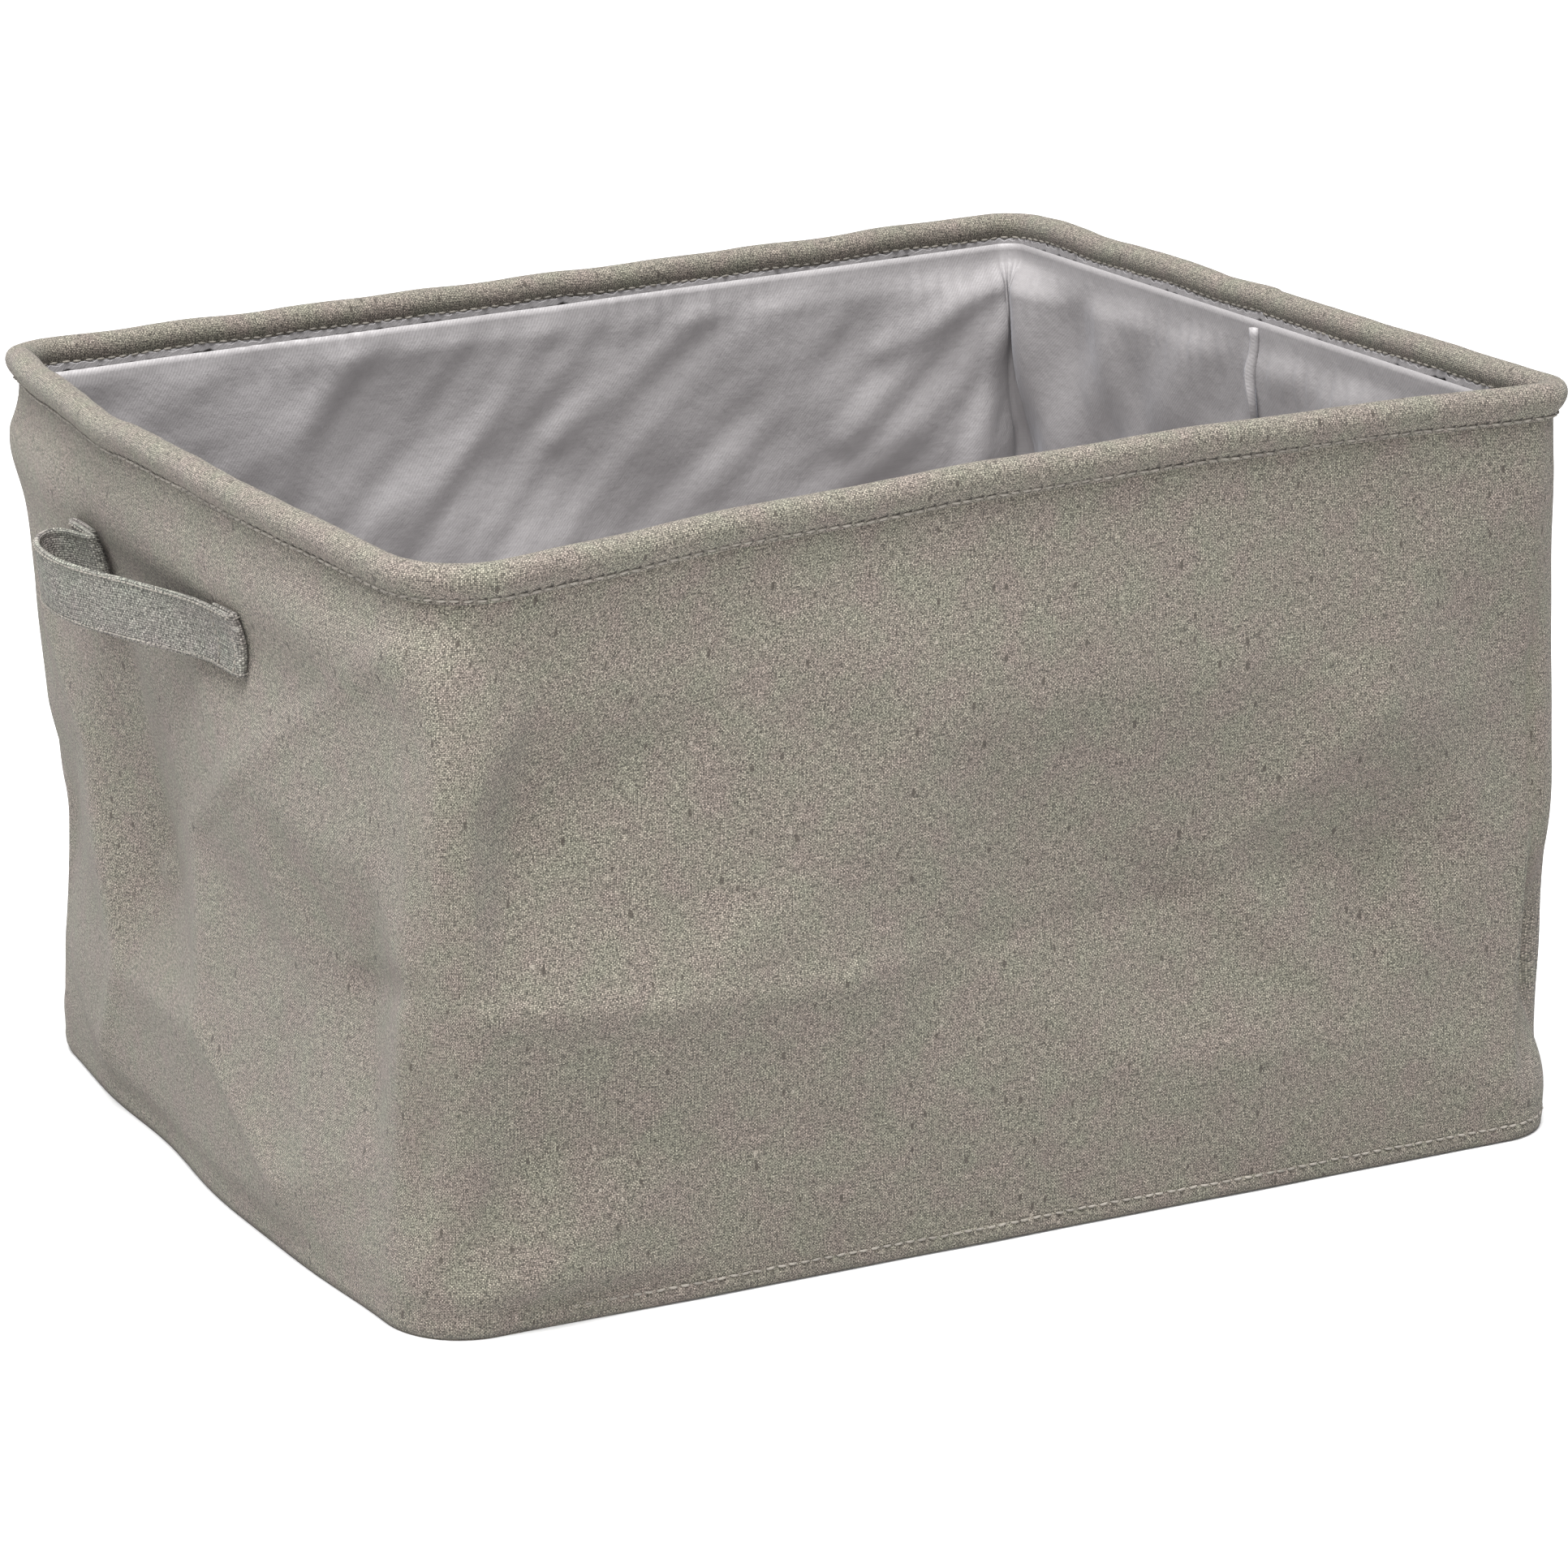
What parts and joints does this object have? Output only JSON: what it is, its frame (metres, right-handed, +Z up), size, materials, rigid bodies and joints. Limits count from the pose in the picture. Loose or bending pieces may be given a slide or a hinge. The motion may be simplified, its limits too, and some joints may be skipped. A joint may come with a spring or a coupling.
{
  "type": "fabric storage bin",
  "caption": "Soft rectangular canvas bin with a satin lining, a wire-stiffened rolled rim and a sewn strap handle on each short side.",
  "frame": {"origin": "centre of the footprint, on the floor", "axes": "+X along the long sides towards the short side with the upright seams, +Y towards the far long side, +Z up"},
  "size_m": [0.56, 0.406, 0.3],
  "materials": {
    "canvas": "linen-look plain-weave canvas, matt, grey-beige",
    "lining": "satin lining, soft sheen, mid grey",
    "strap": "coarser plain-weave strap, matt, light grey-beige",
    "thread": "matt polyester sewing thread",
    "wire": "drawn steel wire",
    "board": "pressed fibre board"
  },
  "bodies": {
    "base": {"outer_base": "canvas", "base_board": "board", "lining_base": "lining", "base_welt": "canvas", "base_stitching": "thread", "outer_wall": "canvas", "outer_side_seam": "canvas", "lining_wall": "lining", "lining_side_seam": "lining"},
    "rim": {"rim_hem": "canvas", "rim_wire": "wire", "rim_stitching": "thread", "lining_top_fold": "lining"},
    "left_handle_ends": {"left_front_tab": "strap", "left_back_tab": "strap", "left_tab_stitching": "thread"},
    "left_handle_loop": {"left_strap_loop": "strap"},
    "right_handle_ends": {"right_front_tab": "strap", "right_back_tab": "strap", "right_tab_stitching": "thread"},
    "right_handle_loop": {"right_strap_loop": "strap"}
  },
  "joints": [
    {"name": "rim_fold_down", "type": "slide", "parent": "base", "child": "rim", "axis": [0, 0, 1], "range_m": [-0.16, 0], "deforming": ["outer_wall", "outer_side_seam", "lining_wall", "lining_side_seam"]},
    {"name": "left_handle_drop", "type": "slide", "parent": "base", "child": "left_handle_ends", "axis": [0, 0, 1], "range_m": [-0.1323, 0]},
    {"name": "right_handle_drop", "type": "slide", "parent": "base", "child": "right_handle_ends", "axis": [0, 0, 1], "range_m": [-0.1323, 0]},
    {"name": "left_handle_swing", "type": "hinge", "parent": "left_handle_ends", "child": "left_handle_loop", "pos_m": [-0.2515, 0, 0.2375], "axis": [0, 1, 0], "range_deg": [-30, 40]},
    {"name": "right_handle_swing", "type": "hinge", "parent": "right_handle_ends", "child": "right_handle_loop", "pos_m": [0.2515, 0, 0.2375], "axis": [0, -1, 0], "range_deg": [-30, 40]}
  ],
  "couplings": [
    {"joint": "left_handle_drop", "follows": "rim_fold_down", "ratio": 0.8259},
    {"joint": "right_handle_drop", "follows": "rim_fold_down", "ratio": 0.8259}
  ]
}
